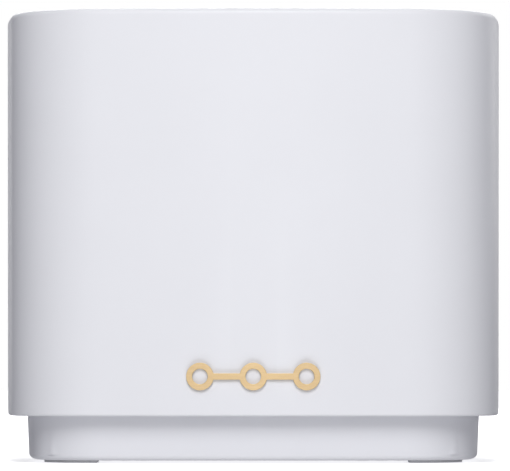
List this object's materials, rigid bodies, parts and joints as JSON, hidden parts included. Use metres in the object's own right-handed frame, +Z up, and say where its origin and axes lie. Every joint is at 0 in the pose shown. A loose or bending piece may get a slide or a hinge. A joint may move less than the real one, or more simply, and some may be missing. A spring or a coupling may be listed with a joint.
{
  "type": "mesh wifi node",
  "caption": "Small square table-top mesh wifi node: off-white rounded shell over a recessed plinth, vented top, rear network and power ports.",
  "frame": {"origin": "centre of the body's plan, on the plane the four feet stand on", "axes": "+Z up, the front with the emblem faces -Y, the ports face +Y, +X is to the right seen from the front"},
  "size_m": [0.09, 0.0905, 0.08],
  "materials": {
    "shell_plastic": "satin moulded, off-white with a cool tint",
    "base_plastic": "satin moulded, off-white",
    "grille_plastic": "satin moulded, off-white",
    "gold_trim": "satin pale gold",
    "rubber": "matte grey",
    "label_film": "semi-gloss film",
    "clear_plastic": "clear",
    "black_plastic": "fine matte",
    "frame_plastic": "fine matte",
    "board_laminate": "solder mask, semi-gloss",
    "nickel_sheet": "nickel plated sheet",
    "gold_contact": "gold plated",
    "aluminium": "extruded, satin",
    "thermal_pad": "soft matte",
    "steel": "zinc plated",
    "lead_jacket": "smooth jacket"
  },
  "bodies": {
    "housing": {"outer_shell": "shell_plastic", "top_grille": "grille_plastic", "base_tray": "base_plastic", "rear_port_panel": "base_plastic", "front_emblem": "gold_trim", "rating_label": "label_film", "status_light_pipe": "clear_plastic", "status_led": "label_film", "dc_jack_housing": "black_plastic", "dc_jack_pin": "nickel_sheet", "dc_jack_spring": "nickel_sheet", "main_board": "board_laminate", "soc_chip": "black_plastic", "memory_chip": "black_plastic", "flash_chip": "black_plastic", "wan_transformer": "black_plastic", "lan_transformer": "black_plastic", "radio_shield_left": "nickel_sheet", "radio_shield_right": "nickel_sheet", "power_inductor": "frame_plastic", "bulk_capacitor": "aluminium", "heat_sink": "aluminium", "heat_sink_pad": "thermal_pad", "pairing_switch_body": "black_plastic", "reset_switch_body": "nickel_sheet", "antenna_frame": "frame_plastic", "antenna_left": "board_laminate", "antenna_right": "board_laminate", "antenna_lead_left": "lead_jacket", "antenna_lead_right": "lead_jacket", "coax_plug_left": "gold_contact", "coax_plug_right": "gold_contact", "heat_sink_screw_left": "steel", "heat_sink_screw_right": "steel", "wan_jack_shield": "nickel_sheet", "wan_jack_insert": "black_plastic", "wan_jack_contacts": "gold_contact", "lan_jack_shield": "nickel_sheet", "lan_jack_insert": "black_plastic", "lan_jack_contacts": "gold_contact", "foot_front_left": "rubber", "base_screw_front_left": "steel", "board_screw_front_left": "steel", "foot_front_right": "rubber", "base_screw_front_right": "steel", "board_screw_front_right": "steel", "foot_rear_left": "rubber", "base_screw_rear_left": "steel", "board_screw_rear_left": "steel", "foot_rear_right": "rubber", "base_screw_rear_right": "steel", "board_screw_rear_right": "steel"},
    "pairing_key": {"pairing_button": "base_plastic", "pairing_switch_plunger": "base_plastic"},
    "reset_key": {"reset_switch_plunger": "black_plastic"}
  },
  "joints": [
    {"name": "pairing_press", "type": "slide", "parent": "housing", "child": "pairing_key", "axis": [0, -1, 0], "range_m": [0, 0.0006], "stiffness_N_per_m": 3000},
    {"name": "reset_press", "type": "slide", "parent": "housing", "child": "reset_key", "axis": [0, 0, 1], "range_m": [0, 0.0003], "stiffness_N_per_m": 4000}
  ]
}
